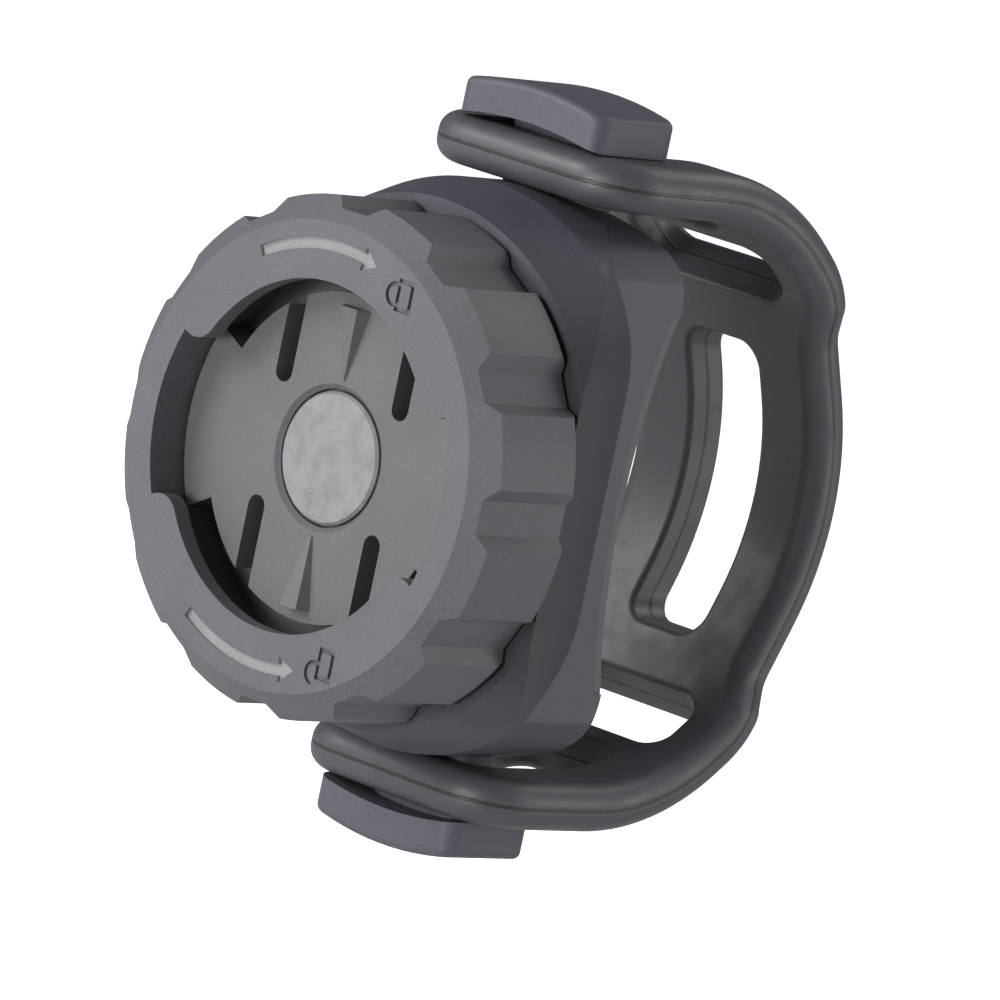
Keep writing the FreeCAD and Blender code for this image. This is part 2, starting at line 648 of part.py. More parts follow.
def make_housing(insert_rear, friction_inner, friction_rear):
    """Moulded housing: round front that flows into flat sides, neck for the plate, two hooks."""
    body = new_body("housing")
    block = sketch_on(body, "block_outline", "XZ_Plane", housing_front)
    reach = s.seat_half - s.side_edge_round
    across = s.side_half - s.side_edge_round
    straight = root_of(reach * reach - across * across)
    seat_x = across * s.seat_half / reach
    seat_z = straight * s.seat_half / reach
    edge = (s.side_edge_round, "right")
    end = (s.seat_half, "right")
    outline(block, [
        (-seat_x, -seat_z),
        (seat_x, -seat_z),
        (s.side_half, -straight),
        (s.side_half, straight),
        (seat_x, seat_z),
        (-seat_x, seat_z),
        (-s.side_half, straight),
        (-s.side_half, -straight),
    ], {0: end, 1: edge, 3: edge, 4: end, 5: edge, 7: edge})
    solid_from(body, "Pad", "block", block, s.saddle_tip - housing_front, back=True)

    flank_end = s.flank_rear + s.flank_overrun
    slope = (s.flank_front_half - s.side_half) / (s.flank_rear - housing_front)
    end_half = s.flank_front_half - slope * (flank_end - housing_front)
    beyond_seat = s.seat_half + 1
    flank = []
    for number, (place, middle, corner) in enumerate((
            (housing_front, s.flank_front_half, s.flank_front_corner),
            (flank_end, end_half, s.flank_rear_corner))):
        section = sketch_on(body, f"flank_section_{number}", "XZ_Plane", place)
        bow = (bow_radius(beyond_seat - s.flank_straight, middle - corner), "right")
        outline(section, [
            (-corner, -beyond_seat),
            (corner, -beyond_seat),
            (middle, -s.flank_straight),
            (middle, s.flank_straight),
            (corner, beyond_seat),
            (-corner, beyond_seat),
            (-middle, s.flank_straight),
            (-middle, -s.flank_straight),
        ], {1: bow, 3: bow, 5: bow, 7: bow})
        flank.append(section)
    flare = body.newObject("PartDesign::AdditiveLoft", "flank")
    flare.Profile = flank[0]
    flare.Sections = [flank[1]]
    flare.Ruled = True

    rear = sketch_on(body, "rear_outline", "YZ_Plane")
    beyond = s.saddle_tip + 1
    liner_seat = s.saddle_tip - s.liner_thickness
    heel_front = s.saddle_tip - s.heel_radius
    heel = (s.heel_radius, "left")
    outline(rear, [
        (heel_front, beyond_seat),
        (heel_front, s.seat_half),
        (s.saddle_tip, saddle_end),
        (liner_seat, saddle_end),
        (liner_seat, -saddle_end),
        (s.saddle_tip, -saddle_end),
        (heel_front, -s.seat_half),
        (heel_front, -beyond_seat),
        (beyond, -beyond_seat),
        (beyond, beyond_seat),
    ], {1: heel, 3: (bow_radius(saddle_end, s.saddle_depth), "right"), 5: heel})
    solid_from(body, "Pocket", "rear_trim", rear, both_ways=True)

    trim = sketch_on(body, "front_trim_section", "XY_Plane")
    trimmed = s.seat_half + s.end_trim_gap
    outline(trim, [
        (front_radius, housing_front),
        (trimmed, housing_front + s.front_flare_run),
        (trimmed, beyond),
        (s.seat_half * 2, beyond),
        (s.seat_half * 2, housing_front),
    ])
    turned(body, "Groove", "front_trim", trim)

    boss = sketch_on(body, "shoulder_outline", "XZ_Plane", housing_front)
    boss_radius = skirt_radius - s.running_gap
    disc(boss, boss_radius)
    solid_from(body, "Pad", "shoulder", boss, housing_front - shoulder)
    run = sketch_on(body, "lug_run_outline", "XZ_Plane", shoulder)
    sector(run, lug_radius - s.running_gap, boss_radius + 1, Size.of(90), stop_half_angle + s.stop_play)
    cut = solid_from(body, "Pocket", "lug_run", run, housing_front - shoulder)
    repeated(body, "lug_runs", cut, 2)

    neck = sketch_on(body, "neck_outline", "XZ_Plane", shoulder)
    disc(neck, neck_radius)
    solid_from(body, "Pad", "neck", neck, shoulder - plate_rear)
    channel = sketch_on(body, "channel_outline", "XZ_Plane", plate_rear)
    outline(channel, [
        (-s.channel_half_width, -neck_radius - 1),
        (s.channel_half_width, -neck_radius - 1),
        (s.channel_half_width, neck_radius + 1),
        (-s.channel_half_width, neck_radius + 1),
    ])
    disc(channel, s.post_radius)
    solid_from(body, "Pocket", "tongue_channel", channel, s.channel_floor)

    seat = sketch_on(body, "collar_seat_outline", "XZ_Plane", plate_rear)
    disc(seat, s.collar_radius + s.seat_gap)
    solid_from(body, "Pocket", "collar_seat", seat, s.collar_height + s.seat_gap)
    bore = sketch_on(body, "insert_bore_outline", "XZ_Plane", plate_rear)
    disc(bore, s.insert_radius + s.press_gap)
    solid_from(body, "Pocket", "insert_bore", bore, insert_rear - plate_rear + s.bore_run)
    holes = sketch_on(body, "peg_hole_outlines", "XZ_Plane", plate_rear)
    for where in (1, -1):
        disc(holes, s.peg_radius + s.seat_gap, where * peg_place)
    solid_from(body, "Pocket", "peg_holes", holes, s.peg_height + s.seat_gap)

    ring_seat = sketch_on(body, "friction_seat_outline", "XZ_Plane", shoulder)
    disc(ring_seat, friction_inner + s.friction_width + s.press_gap)
    disc(ring_seat, friction_inner - s.press_gap)
    solid_from(body, "Pocket", "friction_seat", ring_seat, friction_rear + s.press_gap - shoulder)

    for up, word in ((1, "upper"), (-1, "lower")):
        add_hook(body, up, word)
    return body


def add_hook(body, up, word):
    """One hook: a stem through the strap's slot, under a wide crowned cap."""
    stem_front = s.hook_slot_front + s.seat_gap
    stem_half = s.hook_slot_half - s.running_gap
    stem_low = s.seat_half - s.hook_root
    stem = sketch_on(body, f"{word}_stem_outline", "XY_Plane", up * stem_low)
    stem_corner = s.slot_corner_round - s.seat_gap
    rounded_box(stem, stem_half, stem_front, stem_front + s.hook_stem_length, stem_corner)
    stem_height = hook_cap_low + s.hook_cap_arch + s.hook_cap_height / 2 - stem_low
    solid_from(body, "Pad", f"{word}_stem", stem, stem_height, back=up < 0)

    cap = sketch_on(body, f"{word}_cap_outline", "XZ_Plane", s.hook_cap_front)
    top = hook_cap_low + s.hook_cap_height
    half = s.hook_cap_half
    outline(cap, [
        (-half, up * hook_cap_low),
        (half, up * hook_cap_low),
        (half, up * top),
        (-half, up * top),
    ], {0: (bow_radius(half, s.hook_cap_arch), "left" if up > 0 else "right"),
        2: (bow_radius(half, s.hook_cap_crown), "right" if up > 0 else "left")})
    solid_from(body, "Pad", f"{word}_cap", cap, s.hook_cap_length, back=True)

    def is_cap_corner(edge):
        box = edge.BoundBox
        upright = near(box.XLength, 0) and near(box.YLength, 0)
        return upright and near(abs(box.XMin), half.value) and up * box.Center.z > hook_cap_low.value

    rounded(body, f"{word}_cap_corners", s.hook_cap_corner, is_cap_corner)

    def is_top_edge(edge):
        return min(up * edge.BoundBox.ZMin, up * edge.BoundBox.ZMax) > top.value - 0.01

    rounded(body, f"{word}_cap_edges", s.hook_cap_edge, is_top_edge)


def make_saddle_liner():
    """Thin rubber liner that grips the bar, glued into the housing's saddle."""
    body = new_body("saddle_liner")
    side = sketch_on(body, "liner_outline", "YZ_Plane")
    front = s.saddle_tip - s.liner_thickness + s.press_gap
    end = saddle_end - s.press_gap
    bow = bow_radius(end, s.saddle_depth)
    outline(side, [
        (front, -end),
        (s.saddle_tip, -end),
        (s.saddle_tip, end),
        (front, end),
    ], {1: (bow, "left"), 3: (bow, "right")})
    width = (s.side_half - s.liner_side_inset) * 2
    solid_from(body, "Pad", "liner", side, width, both_ways=True)
    return body


def strap_path():
    """Upper half of the strap's middle line as (place, height, slope), from the hook to the back."""
    flat = Size.of(0)
    slope = s.strap_slope_angle
    steep = s.strap_rear_angle
    height = strap_inner + s.strap_thickness / 2
    start = (s.strap_front, height, flat)
    bend = (s.strap_bend_start, height, flat)
    run = (bend[0] + s.strap_bend_radius * sin_of(slope),
           height - s.strap_bend_radius * (1 - cos_of(slope)), slope)
    corner = (run[0] + s.strap_slope_run * cos_of(slope),
              run[1] - s.strap_slope_run * sin_of(slope), slope)
    turned_down = (corner[0] + s.strap_corner_radius * (sin_of(steep) - sin_of(slope)),
                   corner[1] - s.strap_corner_radius * (cos_of(slope) - cos_of(steep)), steep)
    reach = turned_down[0] * sin_of(steep) + turned_down[1] * cos_of(steep)
    centre = (reach - s.strap_rear_radius) / sin_of(steep)
    back = (centre + s.strap_rear_radius * sin_of(steep), s.strap_rear_radius * cos_of(steep), steep)
    return [start, bend, run, corner, turned_down, back]


def make_strap():
    """Rubber strap, one moulding: an end under each hook, long bends, two corners and a bowed back."""
    body = new_body("strap")
    path = strap_path()
    half = s.strap_thickness / 2

    def shifted(point, out):
        place, height, slope = point
        return place + out * half * sin_of(slope), height + out * half * cos_of(slope)

    def lower(points):
        return [(place, -height) for place, height in reversed(points)]

    outside = [shifted(point, 1) for point in path]
    inside = [shifted(point, -1) for point in path]
    outer_side = outside + lower(outside)
    inner_side = inside + lower(inside)
    bends = (s.strap_bend_radius, s.strap_corner_radius, s.strap_rear_radius,
             s.strap_corner_radius, s.strap_bend_radius)
    arcs = {}
    for number, radius in enumerate(bends):
        edge = 2 * number + 1
        arcs[edge] = (radius + half, "left")
        arcs[len(outer_side) + edge] = (radius - half, "right")
    side = sketch_on(body, "strap_side_outline", "YZ_Plane")
    outline(side, outer_side + inner_side[::-1], arcs)
    solid_from(body, "Pad", "band", side, s.strap_half_width * 2, both_ways=True)

    waist = sketch_on(body, "waist_outline", "XZ_Plane")
    top = s.strap_waist_height + s.strap_waist_step / 2
    low = s.strap_waist_height - s.strap_waist_step / 2
    beside = s.strap_half_width + 1
    run_out = s.strap_waist_step / (s.strap_half_width - s.strap_rear_half_width)
    for where in (1, -1):
        outline(waist, [
            (where * s.strap_rear_half_width, -low),
            (where * beside, -(top + run_out)),
            (where * beside, top + run_out),
            (where * s.strap_rear_half_width, low),
        ])
    solid_from(body, "Pocket", "waist", waist)

    def is_end_corner(edge):
        box = edge.BoundBox
        return near(box.XLength, 0) and near(box.YLength, 0) and near(box.YMin, s.strap_front.value)

    rounded(body, "end_corners", s.strap_corner_round, is_end_corner)

    def is_waist_edge(edge):
        box = edge.BoundBox
        straight_across = near(box.XLength, 0) and near(box.ZLength, 0)
        return straight_across and box.YMin > s.strap_bend_start.value

    rounded(body, "waist_edges", s.strap_waist_step, is_waist_edge)

    def is_rim(edge):
        box = edge.BoundBox
        across = near(box.YLength, 0) and near(box.ZLength, 0)
        through = edge.Length < s.strap_thickness.value + 0.01
        at_end = near(box.YMin, s.strap_front.value)
        return (at_end or not across) and not (through and not at_end)

    rounded(body, "rim", s.strap_edge_round, is_rim)

    def slot_rim(half_width, lean, here):
        """Chooses a slot's rim: edges within its width that don't run through the strap."""

        def chosen(edge):
            box = edge.BoundBox
            side = math.copysign(1, box.Center.z)
            through = FreeCAD.Vector(0, sin_of(lean).value, side * cos_of(lean).value)
            along = edge.tangentAt(edge.FirstParameter).cross(through).Length > 0.1
            return along and max(-box.XMin, box.XMax) < half_width.value + 0.01 and here(box.Center)

        return chosen

    hook_slot = sketch_on(body, "hook_slot_outline", "XY_Plane")
    rounded_box(hook_slot, s.hook_slot_half, s.hook_slot_front, s.hook_slot_rear, s.slot_corner_round)
    solid_from(body, "Pocket", "hook_slots", hook_slot, both_ways=True)

    def by_hook(centre):
        return s.hook_slot_front.value - 0.01 < centre.y < s.hook_slot_rear.value + 0.01

    rounded(body, "hook_slot_rims", s.slot_rim_round, slot_rim(s.hook_slot_half, Size.of(0), by_hook))

    rear_slot = sketch_on(body, "rear_slot_outline", "XZ_Plane")
    rounded_box(rear_slot, s.rear_slot_half, -s.rear_slot_end, s.rear_slot_end, s.slot_corner_round)
    solid_from(body, "Pocket", "rear_slot", rear_slot)

    def by_rear_slot(centre):
        return abs(centre.z) < s.rear_slot_end.value + 0.01

    rounded(body, "rear_slot_rims", s.slot_rim_round, slot_rim(s.rear_slot_half, Size.of(90), by_rear_slot))

    corner_slot = sketch_on(body, "corner_slot_outline", "XY_Plane")
    place = (path[2][0] + path[3][0]) / 2
    height = (path[2][1] + path[3][1]) / 2
    slope = s.strap_slope_angle + s.corner_slot_tilt
    corner_slot.AttachmentOffset = FreeCAD.Placement(
        FreeCAD.Vector(0, place.value, height.value), FreeCAD.Rotation(FreeCAD.Vector(-1, 0, 0), slope.value))
    corner_slot.setExpression("AttachmentOffset.Base.y", place.text)
    corner_slot.setExpression("AttachmentOffset.Base.z", height.text)
    corner_slot.setExpression("AttachmentOffset.Rotation.Angle", slope.text)
    reach = s.corner_slot_height / 2
    rounded_box(corner_slot, s.corner_slot_half, -reach, reach, s.slot_corner_round)
    cut = solid_from(body, "Pocket", "corner_slot", corner_slot, s.strap_thickness * 3, both_ways=True)
    mirrored(body, "corner_slots", cut)

    rim_reach = math.hypot(reach.value, half.value) + s.slot_rim_round.value / 2

    def by_corner_slot(centre):
        return math.hypot(centre.y - place.value, abs(centre.z) - height.value) < rim_reach

    rounded(body, "corner_slot_rims", s.slot_rim_round,
            slot_rim(s.corner_slot_half, slope, by_corner_slot))
    return body


pieces = {}


def keep(item):
    pieces[item.Label] = item


keep(make_twist_ring())
plate, cap_floor, head_floor = make_receiver_plate()
keep(plate)
keep(make_centre_cap(cap_floor))
keep(make_centre_screw(head_floor))
insert, insert_rear = make_threaded_insert()
keep(insert)
friction_ring, friction_inner, friction_rear = make_friction_ring()
keep(friction_ring)
keep(make_housing(insert_rear, friction_inner, friction_rear))
keep(make_saddle_liner())
keep(make_strap())
doc.recompute()

for item in doc.Objects:
    if {"Invalid", "Error"} & set(item.State):
        raise RuntimeError(f"{item.Label} failed to build")
os.makedirs("parts", exist_ok=True)
for label, item in pieces.items():
    if item.Shape.isNull() or not item.Shape.isValid():
        raise RuntimeError(f"{label} has no sound solid")
    item.Shape.exportStep(f"parts/{label}.step")
    box = item.Shape.BoundBox
    print(f"{label:18s} {len(item.Shape.Solids)} solid {item.Shape.Volume:9.1f} mm3",
          f"x {box.XMin:.2f}..{box.XMax:.2f} y {box.YMin:.2f}..{box.YMax:.2f} z {box.ZMin:.2f}..{box.ZMax:.2f}")
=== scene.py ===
import json
import math

import bmesh
import bpy
from mathutils import Matrix, Quaternion, Vector

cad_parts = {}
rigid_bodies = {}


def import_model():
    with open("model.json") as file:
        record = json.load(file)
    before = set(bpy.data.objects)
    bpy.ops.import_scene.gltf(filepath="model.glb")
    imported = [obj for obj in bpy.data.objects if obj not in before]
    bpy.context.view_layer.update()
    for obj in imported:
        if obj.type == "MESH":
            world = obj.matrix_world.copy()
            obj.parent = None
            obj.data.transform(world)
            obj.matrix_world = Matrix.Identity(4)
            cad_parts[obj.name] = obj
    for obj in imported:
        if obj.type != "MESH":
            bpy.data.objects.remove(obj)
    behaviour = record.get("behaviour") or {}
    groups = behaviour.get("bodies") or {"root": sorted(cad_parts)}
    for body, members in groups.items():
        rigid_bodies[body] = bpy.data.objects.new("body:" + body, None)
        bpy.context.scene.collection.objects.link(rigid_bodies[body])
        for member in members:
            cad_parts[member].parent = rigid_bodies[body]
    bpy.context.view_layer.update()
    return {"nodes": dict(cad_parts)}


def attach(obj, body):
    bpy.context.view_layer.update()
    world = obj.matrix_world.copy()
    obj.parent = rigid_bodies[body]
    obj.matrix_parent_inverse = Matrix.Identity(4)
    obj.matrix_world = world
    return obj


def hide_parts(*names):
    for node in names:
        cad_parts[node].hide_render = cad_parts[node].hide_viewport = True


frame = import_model()
MM = 0.001


# The picture's stand: a camera with a long lens to the right of the front and a little above it, tilted
# so that the mount leans to the right. Nothing here belongs to the mount.

azimuth = math.radians(42.8)
elevation = math.radians(7.97)
lean = math.radians(11.84)
distance = 813.5 * MM
aim = Vector((11.1, 10.5, -0.1)) * MM

back = Vector((
    math.sin(azimuth) * math.cos(elevation),
    -math.cos(azimuth) * math.cos(elevation),
    math.sin(elevation),
))
camera_data = bpy.data.cameras.new("camera")
camera_data.lens = 399.3
camera_data.sensor_width = 36.0
camera_data.clip_start = 0.01
camera_data.clip_end = 20.0
camera = bpy.data.objects.new("camera", camera_data)
camera.location = aim + distance * back
camera.rotation_mode = "QUATERNION"
camera.rotation_quaternion = (-back).to_track_quat("-Z", "Y") @ Quaternion((0, 0, 1), lean)
bpy.context.scene.collection.objects.link(camera)
bpy.context.scene.camera = camera
bpy.context.scene.view_settings.view_transform = "Standard"


class Value:
    """An output of a shader node that can be added to, taken away and multiplied like a number."""

    def __init__(self, finish, socket):
        self.finish = finish
        self.socket = socket

    def sum(self, operation, first, second):
        return self.finish.node("ShaderNodeMath", {"operation": operation}, {0: first, 1: second})

    def __add__(self, other):
        return self.sum("ADD", self, other)

    def __radd__(self, other):
        return self.sum("ADD", other, self)

    def __sub__(self, other):
        return self.sum("SUBTRACT", self, other)

    def __rsub__(self, other):
        return self.sum("SUBTRACT", other, self)

    def __mul__(self, other):
        return self.sum("MULTIPLY", self, other)

    def __rmul__(self, other):
        return self.sum("MULTIPLY", other, self)

    def __gt__(self, other):
        return self.sum("GREATER_THAN", self, other)


class Finish:
    """A material, or the world, in the making."""

    def __init__(self, owner):
        owner.use_nodes = True
        self.owner = owner
        self.tree = owner.node_tree
        self.tree.nodes.clear()

    def node(self, kind, settings=None, inputs=None, output=0):
        made = self.tree.nodes.new(kind)
        for name, value in (settings or {}).items():
            setattr(made, name, value)
        for name, value in (inputs or {}).items():
            if isinstance(value, Value):
                self.tree.links.new(value.socket, made.inputs[name])
            else:
                made.inputs[name].default_value = value
        return Value(self, made.outputs[output])

    def place(self):
        return self.node("ShaderNodeTexCoord", output="Object")

    def noise(self, size, detail=2.0, roughness=0.5, place=None):
        """Clouds whose lumps are about as wide as size."""
        return self.node("ShaderNodeTexNoise", inputs={
            "Vector": place or self.place(), "Scale": 1 / size, "Detail": detail, "Roughness": roughness})

    def range(self, value, low, high, to_low=0.0, to_high=1.0):
        return self.node("ShaderNodeMapRange", inputs={
            "Value": value, "From Min": low, "From Max": high, "To Min": to_low, "To Max": to_high})

    def spread(self, noise, low, high):
        """Noise, most of which lies between 0.3 and 0.7, spread between two values."""
        return self.range(noise, 0.3, 0.7, low, high)

    def tint(self, colour, shade):
        """A colour made lighter or darker by shade."""
        parts = {name: shade * part for name, part in zip(("Red", "Green", "Blue"), colour)}
        return self.node("ShaderNodeCombineColor", inputs=parts)

    def blend(self, share, first, second):
        return self.node("ShaderNodeMix", {"data_type": "RGBA"}, {
            "Factor": share, 6: (*first, 1.0) if isinstance(first, tuple) else first,
            7: (*second, 1.0) if isinstance(second, tuple) else second}, output=2)

    def bump(self, height, depth, normal=None):
        """height from 0 to 1 stands for depth."""
        inputs = {"Height": height, "Distance": depth, "Strength": 1.0}
        if normal is not None:
            inputs["Normal"] = normal
        return self.node("ShaderNodeBump", inputs=inputs)

    def maths(self, operation, value):
        return self.node("ShaderNodeMath", {"operation": operation}, {0: value})

    def axis(self, which):
        """The place along X, Y or Z, as 0, 1 or 2, in millimetres."""
        place = self.node("ShaderNodeSeparateXYZ", inputs={"Vector": self.place()}, output=which)
        return place * (1 / MM)

    def surface(self, **inputs):
        names = {name.replace("_", " "): value for name, value in inputs.items()}
        shader = self.node("ShaderNodeBsdfPrincipled", inputs=names)
        self.node_output(shader, "ShaderNodeOutputMaterial")
        return self.owner

    def node_output(self, shader, kind):
        made = self.tree.nodes.new(kind)
        self.tree.links.new(shader.socket, made.inputs["Surface"])


# Studio: a white room. The camera sees it as pure white, and its own light on the mount is weak and a
# little cool. Soft boxes light the mount: two strong ones in front, one high on the left and one level with
# the mount, and three weaker ones behind, on the right and above.

world = bpy.data.worlds.new("studio")
bpy.context.scene.world = world
room = Finish(world)
path = "ShaderNodeLightPath"
seen = room.node(path, output="Is Camera Ray") + room.node(path, output="Is Transmission Ray")
room_light = room.node("ShaderNodeBackground", inputs={"Color": (0.89, 0.90, 1.0, 1.0), "Strength": 0.19})
room_seen = room.node("ShaderNodeBackground", inputs={"Color": (1.0, 1.0, 1.0, 1.0), "Strength": 1.0})
room.node_output(room.node("ShaderNodeMixShader", inputs={0: seen, 1: room_light, 2: room_seen}),
                 "ShaderNodeOutputWorld")


lamp_aim = (0.0, 15.0, 0.0)


def lamp(name, place, size, power):
    """A square soft box. Places and sizes are in millimetres."""
    data = bpy.data.lights.new(name, "AREA")
    data.shape = "SQUARE"
    data.size = size * MM
    data.energy = power
    box = bpy.data.objects.new(name, data)
    box.location = Vector(place) * MM
    box.rotation_euler = (Vector(lamp_aim) - Vector(place)).to_track_quat("-Z", "Y").to_euler()
    bpy.context.scene.collection.objects.link(box)


lamp("front_left_box", (-240.0, -310.0, 190.0), 220.0, 1.50)
lamp("right_rear_box", (330.0, 220.0, 150.0), 220.0, 0.27)
lamp("front_level_box", (60.0, -430.0, -20.0), 200.0, 1.93)
lamp("level_rear_box", (330.0, 330.0, -30.0), 200.0, 0.63)
lamp("top_rear_box", (60.0, 330.0, 330.0), 240.0, 0.52)

floor_level = -50.0 * MM
floor_half = 6.0
floor_mesh = bpy.data.meshes.new("floor")
floor_mesh.from_pydata(
    [(-floor_half, -floor_half, 0), (floor_half, -floor_half, 0), (floor_half, floor_half, 0),
     (-floor_half, floor_half, 0)], [], [(0, 1, 2, 3)])
floor_mesh.transform(Matrix.Translation((0, 0, floor_level)))
floor = bpy.data.objects.new("floor", floor_mesh)
bpy.context.scene.collection.objects.link(floor)
pale = Finish(bpy.data.materials.new("pale_floor"))
matte = pale.node("ShaderNodeBsdfDiffuse", inputs={"Color": (0.85, 0.85, 0.85, 1.0)})
glow = pale.node("ShaderNodeEmission", inputs={"Color": (1.0, 1.0, 1.0, 1.0), "Strength": 0.9})
lit = pale.node("ShaderNodeAddShader", inputs={0: matte, 1: glow})
pale.node_output(pale.node("ShaderNodeMixShader", inputs={
    0: pale.node("ShaderNodeLightPath", output="Is Camera Ray"), 1: matte, 2: lit}),
    "ShaderNodeOutputMaterial")
floor_mesh.materials.append(pale.owner)


# Housing: one glass-filled nylon moulding, round in front, with flat sides, a hollow saddle and two
# hooks, with a fine grain and a few pale specks. In the photo the front and flanks look darker than the
# flat sides and hooks. The lamps don't give that, so here all but those has painted shade: a darker colour.

def dress(node, finish):
    """Gives a CAD piece its finish."""
    piece = frame["nodes"][node]
    piece.data.materials.clear()
    piece.data.materials.append(finish)
    return piece


def grained_plastic(name, colour, grain=0.17, depth=0.011, rough=0.56, painted_shade_share=None):
    """Matte moulded plastic, its grain in millimetres. Its last argument, if given, is painted shade: the
    share of its colour left there.
    """
    speck_size = 0.42
    speck_gain = 3.0
    finish = Finish(bpy.data.materials.new(name))
    fine = finish.noise(grain * MM, detail=3.0, roughness=0.6)
    cloud = finish.noise(7.0 * MM, detail=3.0)
    speck = finish.node("ShaderNodeTexVoronoi", inputs={
        "Vector": finish.place(), "Scale": 1 / (speck_size * MM), "Randomness": 1.0})
    pale_speck = finish.range(speck, 0.14, 0.06) * finish.range(cloud, 0.35, 0.65, 0.1, 0.35)
    shade = finish.spread(fine, 0.8, 1.2) * finish.spread(cloud, 0.94, 1.06)
    # Painted shade, where it is given, darkens the grained colour.
    if painted_shade_share:
        shade = shade * painted_shade_share(finish)
    tint = finish.tint(colour, shade)
    tint = finish.blend(pale_speck, tint, tuple(speck_gain * part for part in colour))
    return finish.surface(
        Base_Color=tint,
        Roughness=finish.spread(fine, rough - 0.07, rough + 0.07),
        Normal=finish.bump(fine, depth * MM),
        IOR=1.5,
    )


# Painted shade on the housing, in millimetres: where the flat sides and the hooks' seats lie, and how much
# colour it takes away up to 12 and from 19 up or down.
side_half = 10.8
side_slack = 0.02
seat_height = 21.45
painted_shade_middle = 12.0
painted_shade_end = 19.0
painted_shade_at_middle = 0.62
painted_shade_at_end = 0.2


def painted_shade_except_sides_and_hooks(finish):
    """Painted shade: all the colour on the flat sides and the hooks, and less of it on every other face."""
    up = finish.maths("ABSOLUTE", finish.axis(2))
    off_side = finish.maths("ABSOLUTE", finish.maths("ABSOLUTE", finish.axis(0)) - side_half) > side_slack
    between_seats = 1.0 - (up > seat_height)
    darker = finish.range(up, painted_shade_middle, painted_shade_end, painted_shade_at_middle, painted_shade_at_end)
    return 1.0 - off_side * between_seats * darker


# The housing's front and flanks get painted shade.
dress("housing", grained_plastic(
    "housing_nylon", (0.077, 0.080, 0.097), painted_shade_share=painted_shade_except_sides_and_hooks))


# Saddle liner: a thin layer of soft rubber, glued into the housing's hollow saddle, where it grips the
# bar. Its edge shows as a light line.

def plain_rubber(name, colour, rough=0.5, line=None):
    """Smooth rubber. line gives a mould's parting line, as 1 on it and 0 beside it."""
    line_shade = 0.35
    line_depth = 0.05
    finish = Finish(bpy.data.materials.new(name))
    fine = finish.noise(0.25 * MM, detail=2.0)
    smear = finish.noise(3.0 * MM, detail=4.0, roughness=0.6)
    shade = finish.spread(fine, 0.94, 1.06) * finish.spread(smear, 0.9, 1.1)
    tint = finish.tint(colour, shade)
    normal = finish.bump(fine, 0.004 * MM)
    if line:
        mark = line(finish)
        tint = finish.blend(mark, tint, tuple(line_shade * part for part in colour))
        normal = finish.bump(mark, line_depth * MM, normal)
    return finish.surface(
        Base_Color=tint,
        Roughness=finish.spread(smear, rough - 0.08, rough + 0.08),
        Normal=normal,
        IOR=1.5,
    )


liner_rubber = plain_rubber("liner_rubber", (0.115, 0.115, 0.122), rough=0.6)
dress("saddle_liner", liner_rubber)


# Threaded insert and screw: turned brass, set in the housing's post, and a plated steel screw that
# holds the plate. Both are hidden under the cap in the middle.

def turned_metal(name, colour, rough):
    finish = Finish(bpy.data.materials.new(name))
    streak = finish.noise(0.3 * MM, detail=3.0)
    return finish.surface(
        Base_Color=finish.blend(streak, tuple(0.85 * part for part in colour), colour),
        Metallic=1.0,
        Roughness=finish.spread(streak, rough - 0.06, rough + 0.06),
    )


dress("threaded_insert", turned_metal("insert_brass", (0.72, 0.53, 0.25), 0.35))
dress("centre_screw", turned_metal("screw_steel", (0.55, 0.55, 0.55), 0.3))


# Friction ring: a plain rubber ring in the groove of the housing's shoulder, under the twist ring. It
# stands for the drag that keeps the twist ring where it is put.

dress("friction_ring", liner_rubber)


# Twist ring: the knurled locking ring, one grained nylon moulding. Two arrows with smooth pale floors and
# two padlocks are sunk into its front face: a closed one just past the upper arrow's head, and an open one
# just past the lower arrow's.

sign_depth = 0.28
arrow_radius = 15.73
arrow_width = 0.85
arrow_start = 119.5
arrow_neck = 80.5
arrow_tip = 75.0
arrow_head_half = 0.95
lock_half_width = 0.82
lock_half_height = 1.2
lock_line = 0.33
shackle_radius = 0.93
shackle_inner = shackle_radius - lock_line
shackle_reach = 0.2
closed_lock = (7.44, 13.77)
open_lock = (7.12, -14.01)
lock_round = 0.15
open_slip = 0.8
sharp_above = 28


def polar(radius, angle):
    return radius * math.cos(math.radians(angle)), radius * math.sin(math.radians(angle))


def arc(centre, radius, start, stop, steps=16):
    """Points along an arc, in degrees."""
    turns = [start + (stop - start) * step / steps for step in range(steps + 1)]
    return [(centre[0] + polar(radius, turn)[0], centre[1] + polar(radius, turn)[1]) for turn in turns]


def arrow_outline(up):
    """A curved arrow. up is 1 for the upper one, which points right, and -1 for its mirror below."""
    half = arrow_width / 2
    points = arc((0, 0), arrow_radius + half, arrow_start, arrow_neck, 24)
    points.append(polar(arrow_radius + arrow_head_half, arrow_neck))
    points.append(polar(arrow_radius, arrow_tip))
    points.append(polar(arrow_radius - arrow_head_half, arrow_neck))
    points += arc((0, 0), arrow_radius - half, arrow_neck, arrow_start, 24)
    return [[(across, up * height) for across, height in points]]


def rounded_rectangle(centre, half_width, half_height, corner):
    points = []
    for turn, (side, up) in enumerate(((1, 1), (-1, 1), (-1, -1), (1, -1))):
        middle = (centre[0] + side * (half_width - corner), centre[1] + up * (half_height - corner))
        points += arc(middle, corner, 90 * turn, 90 * turn + 90, 5)
    return points


def lock_case(centre):
    """A padlock's case: its corners from the lower left round to the upper left, and the island inside."""
    across, up = centre
    corners = [
        (across - lock_half_width, up - lock_half_height),
        (across + lock_half_width, up - lock_half_height),
        (across + lock_half_width, up + lock_half_height),
        (across - lock_half_width, up + lock_half_height),
    ]
    island = rounded_rectangle(centre, lock_half_width - lock_line, lock_half_height - lock_line, lock_round)
    return corners, island


